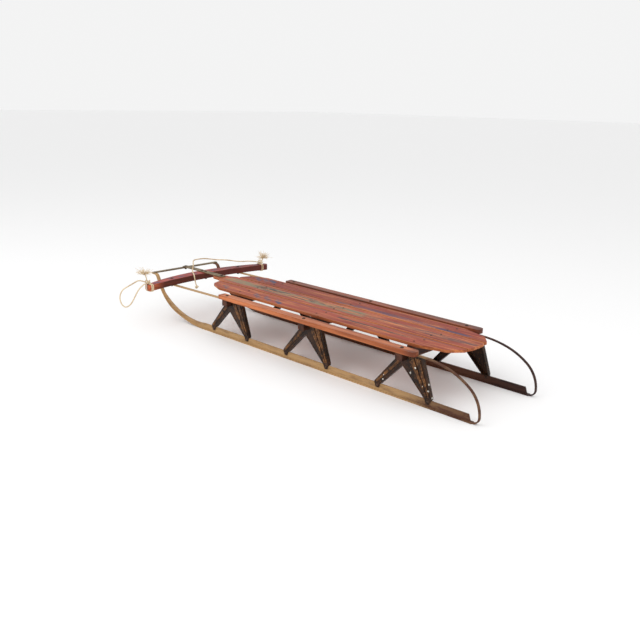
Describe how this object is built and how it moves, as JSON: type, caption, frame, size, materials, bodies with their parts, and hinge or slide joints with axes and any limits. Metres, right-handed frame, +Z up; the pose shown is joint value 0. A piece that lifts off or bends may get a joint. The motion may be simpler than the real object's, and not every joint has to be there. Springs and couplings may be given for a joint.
{
  "type": "steerable runner sled",
  "caption": "Low wooden slat-deck snow sled on bent steel runners, with pressed steel knees and a swept wooden steering bar with pull cords.",
  "frame": {"origin": "on the ground under the centre of the sled's bounding box, without its pull cords", "axes": "+X forward towards the steering bar, +Y to the rider's left, +Z up"},
  "size_m": [1.5481, 0.7044, 0.2409],
  "materials": {
    "painted_slat": "faded red paint worn to the wood along its edges",
    "rail_wood": "worn orange varnish",
    "bench_wood": "dark stained wood",
    "painted_bar": "red paint over varnish, worn",
    "dark_enamel": "chipped dark brown enamel with rust",
    "runner_steel": "rusted tan paint on steel",
    "strap_steel": "dull olive grey steel",
    "fastener_steel": "tarnished steel",
    "cord": "weathered cotton cord"
  },
  "bodies": {
    "frame": {"deck_slat_left": "painted_slat", "deck_slat_middle": "painted_slat", "deck_slat_right": "painted_slat", "side_rail_left": "rail_wood", "side_rail_right": "rail_wood", "front_bench": "bench_wood", "middle_bench": "bench_wood", "rear_bench": "bench_wood", "front_knee_left": "dark_enamel", "front_knee_right": "dark_enamel", "middle_knee_left": "dark_enamel", "middle_knee_right": "dark_enamel", "rear_knee_left": "dark_enamel", "rear_knee_right": "dark_enamel", "runner_left": "runner_steel", "runner_right": "runner_steel", "side_strip_left": "runner_steel", "side_strip_right": "runner_steel", "deck_screws": "fastener_steel", "rail_bolts": "fastener_steel", "knee_screws": "fastener_steel", "knee_rivets": "fastener_steel", "strip_screws": "fastener_steel", "pivot_bolt": "fastener_steel"},
    "steering": {"steering_bar": "painted_bar", "pivot_strap": "strap_steel", "front_bumper": "strap_steel", "strap_bolts": "fastener_steel", "strip_bolts": "fastener_steel", "tip_rivets": "fastener_steel", "pull_cord_near": "cord", "pull_cord_far": "cord", "knot_near": "cord", "knot_far": "cord", "knot_end": "cord", "tassel_near": "cord", "tassel_far": "cord"}
  },
  "joints": [
    {"name": "steer", "type": "hinge", "parent": "frame", "child": "steering", "pos_m": [0.525, 0, 0.1649], "axis": [0, 0, 1], "range_deg": [-8, 8], "stiffness_Nm_per_rad": 30, "deforming": ["runner_left", "runner_right", "side_strip_left", "side_strip_right"]}
  ]
}
